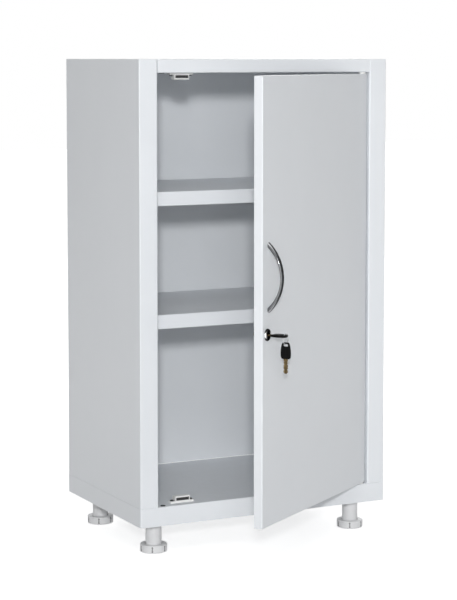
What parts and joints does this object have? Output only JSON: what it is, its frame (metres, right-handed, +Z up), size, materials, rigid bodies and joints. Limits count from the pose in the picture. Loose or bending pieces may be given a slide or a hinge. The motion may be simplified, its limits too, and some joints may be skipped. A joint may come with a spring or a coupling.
{
  "type": "medicine cabinet",
  "caption": "Free-standing white sheet-steel medicine cabinet on levelling feet, with a pivoted lockable door, bow handle, cam lock with keys, magnetic catches and lift-out shelves.",
  "frame": {"origin": "on the floor, under the middle of the carcass", "axes": "+X to the right seen from the front, +Y to the back, +Z up"},
  "size_m": [0.5, 0.5964, 0.882],
  "materials": {
    "white_paint": "white powder coat, fine orange peel, satin gloss",
    "zinc_steel": "bright zinc plate",
    "chrome_plate": "polished chrome plate",
    "white_plastic": "moulded white plastic",
    "ferrite": "dark sintered magnet",
    "key_brass": "nickel-washed brass, milled",
    "black_plastic": "moulded black plastic, satin",
    "foot_plastic": "moulded light grey plastic",
    "stud_steel": "zinc-plated threaded stud",
    "sole_rubber": "moulded dark rubber"
  },
  "bodies": {
    "cabinet": {"left_side_panel": "white_paint", "right_side_panel": "white_paint", "top_panel": "white_paint", "bottom_tray": "white_paint", "back_panel": "white_paint", "back_rivets": "zinc_steel", "base_bolts": "zinc_steel", "base_nuts": "zinc_steel", "upper_shelf_brackets": "white_paint", "lower_shelf_brackets": "white_paint", "upper_pivot_pin": "zinc_steel", "lower_pivot_pin": "zinc_steel", "hole_plugs": "black_plastic", "upper_catch_housing": "white_plastic", "upper_catch_magnet": "ferrite", "upper_catch_poles": "zinc_steel", "lower_catch_housing": "white_plastic", "lower_catch_magnet": "ferrite", "lower_catch_poles": "zinc_steel", "catch_screws": "zinc_steel", "leg_plates": "zinc_steel", "leg_bolts": "zinc_steel", "front_left_leg": "foot_plastic", "front_right_leg": "foot_plastic", "rear_left_leg": "foot_plastic", "rear_right_leg": "foot_plastic"},
    "door": {"door_shell": "white_paint", "door_inner_panel": "white_paint", "door_stiffener": "zinc_steel", "upper_pivot_bush": "white_plastic", "lower_pivot_bush": "white_plastic", "door_handle": "chrome_plate", "handle_screws": "zinc_steel", "lock_housing": "chrome_plate", "lock_nut": "zinc_steel"},
    "lock_core": {"lock_plug": "chrome_plate", "lock_cam": "zinc_steel", "cam_screw": "zinc_steel"},
    "key": {"key_blade": "key_brass", "key_bow": "black_plastic"},
    "ring": {"key_ring": "zinc_steel"},
    "spare_key": {"spare_key_blade": "key_brass", "spare_key_bow": "black_plastic"},
    "upper_shelf": {"upper_shelf": "white_paint"},
    "lower_shelf": {"lower_shelf": "white_paint"},
    "front_left_sole": {"front_left_foot_sole": "sole_rubber"},
    "front_left_cup": {"front_left_foot_cup": "foot_plastic", "front_left_foot_stud": "stud_steel"},
    "front_right_sole": {"front_right_foot_sole": "sole_rubber"},
    "front_right_cup": {"front_right_foot_cup": "foot_plastic", "front_right_foot_stud": "stud_steel"},
    "rear_left_sole": {"rear_left_foot_sole": "sole_rubber"},
    "rear_left_cup": {"rear_left_foot_cup": "foot_plastic", "rear_left_foot_stud": "stud_steel"},
    "rear_right_sole": {"rear_right_foot_sole": "sole_rubber"},
    "rear_right_cup": {"rear_right_foot_cup": "foot_plastic", "rear_right_foot_stud": "stud_steel"}
  },
  "joints": [
    {"name": "door_hinge", "type": "hinge", "parent": "cabinet", "child": "door", "pos_m": [0.203, -0.1595, 0.4755], "axis": [0, 0, 1], "range_deg": [-35, 70]},
    {"name": "lock_turn", "type": "hinge", "parent": "door", "child": "lock_core", "pos_m": [-0.11712, -0.39708, 0.4218], "axis": [-0.5736, 0.8192, 0], "range_deg": [0, 90]},
    {"name": "key_withdraw", "type": "slide", "parent": "lock_core", "child": "key", "axis": [0.5736, -0.8192, 0], "range_m": [0, 0.03]},
    {"name": "ring_hang", "type": "hinge", "parent": "key", "child": "ring", "pos_m": [-0.09588, -0.41791, 0.4218], "axis": [-0.5736, 0.8192, 0], "range_deg": [-90, 0]},
    {"name": "spare_key_swing", "type": "hinge", "parent": "ring", "child": "spare_key", "pos_m": [-0.09588, -0.41791, 0.40692], "axis": [0.8192, 0.5736, 0], "range_deg": [-20, 20]},
    {"name": "upper_shelf_lift", "type": "slide", "parent": "cabinet", "child": "upper_shelf", "axis": [0, 0, 1], "range_m": [0, 0.02]},
    {"name": "lower_shelf_lift", "type": "slide", "parent": "cabinet", "child": "lower_shelf", "axis": [0, 0, 1], "range_m": [0, 0.02]},
    {"name": "front_left_level", "type": "slide", "parent": "cabinet", "child": "front_left_sole", "axis": [0, 0, -1], "range_m": [0, 0.008]},
    {"name": "front_left_turn", "type": "hinge", "parent": "front_left_sole", "child": "front_left_cup", "pos_m": [-0.204, -0.1215, 0.008], "axis": [0, 0, -1], "range_deg": [0, 1900]},
    {"name": "front_right_level", "type": "slide", "parent": "cabinet", "child": "front_right_sole", "axis": [0, 0, -1], "range_m": [0, 0.008]},
    {"name": "front_right_turn", "type": "hinge", "parent": "front_right_sole", "child": "front_right_cup", "pos_m": [0.204, -0.1215, 0.008], "axis": [0, 0, -1], "range_deg": [0, 1900]},
    {"name": "rear_left_level", "type": "slide", "parent": "cabinet", "child": "rear_left_sole", "axis": [0, 0, -1], "range_m": [0, 0.008]},
    {"name": "rear_left_turn", "type": "hinge", "parent": "rear_left_sole", "child": "rear_left_cup", "pos_m": [-0.204, 0.1215, 0.008], "axis": [0, 0, -1], "range_deg": [0, 1900]},
    {"name": "rear_right_level", "type": "slide", "parent": "cabinet", "child": "rear_right_sole", "axis": [0, 0, -1], "range_m": [0, 0.008]},
    {"name": "rear_right_turn", "type": "hinge", "parent": "rear_right_sole", "child": "rear_right_cup", "pos_m": [0.204, 0.1215, 0.008], "axis": [0, 0, -1], "range_deg": [0, 1900]}
  ],
  "couplings": [
    {"joint": "ring_hang", "follows": "lock_turn", "ratio": -1},
    {"joint": "front_left_level", "follows": "front_left_turn", "m_per_rad": 0.00023873},
    {"joint": "front_right_level", "follows": "front_right_turn", "m_per_rad": 0.00023873},
    {"joint": "rear_left_level", "follows": "rear_left_turn", "m_per_rad": 0.00023873},
    {"joint": "rear_right_level", "follows": "rear_right_turn", "m_per_rad": 0.00023873}
  ]
}
